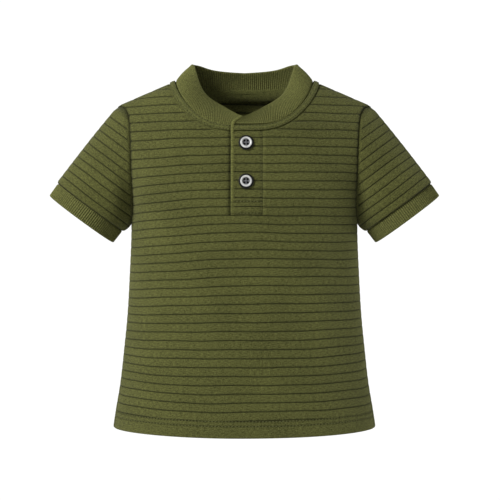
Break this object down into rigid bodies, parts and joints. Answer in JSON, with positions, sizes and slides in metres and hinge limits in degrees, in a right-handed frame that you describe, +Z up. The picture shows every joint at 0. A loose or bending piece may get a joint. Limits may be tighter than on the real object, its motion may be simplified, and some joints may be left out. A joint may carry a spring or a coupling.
{
  "type": "henley shirt",
  "caption": "Short-sleeved child's henley shirt in crosswise-ribbed jersey with a rib-knit stand collar, a buttoned placket and rib-knit cuffs, filled out as worn.",
  "frame": {"origin": "middle of the neck, level with the points where the shoulder line meets the collar; the wearer holds the shirt there", "axes": "+Z up, front facing -Y, +X towards the wearer's left"},
  "size_m": [0.3488, 0.1291, 0.328],
  "materials": {
    "ribbed_jersey": "matte crosswise-ribbed cotton jersey, olive",
    "rib_knit": "matte fine rib knit, olive",
    "plain_jersey": "matte plain cotton jersey, olive",
    "button_resin": "polished resin, pearl rim, dark edge and middle"
  },
  "bodies": {
    "root": {"front": "ribbed_jersey", "back": "ribbed_jersey", "sleeve_left": "ribbed_jersey", "sleeve_right": "ribbed_jersey", "placket_top": "ribbed_jersey", "placket_under": "ribbed_jersey", "cuff_left": "rib_knit", "cuff_right": "rib_knit", "collar": "rib_knit", "neck_binding": "plain_jersey", "neck_tape": "plain_jersey", "button_upper": "button_resin", "button_lower": "button_resin"}
  },
  "joints": []
}
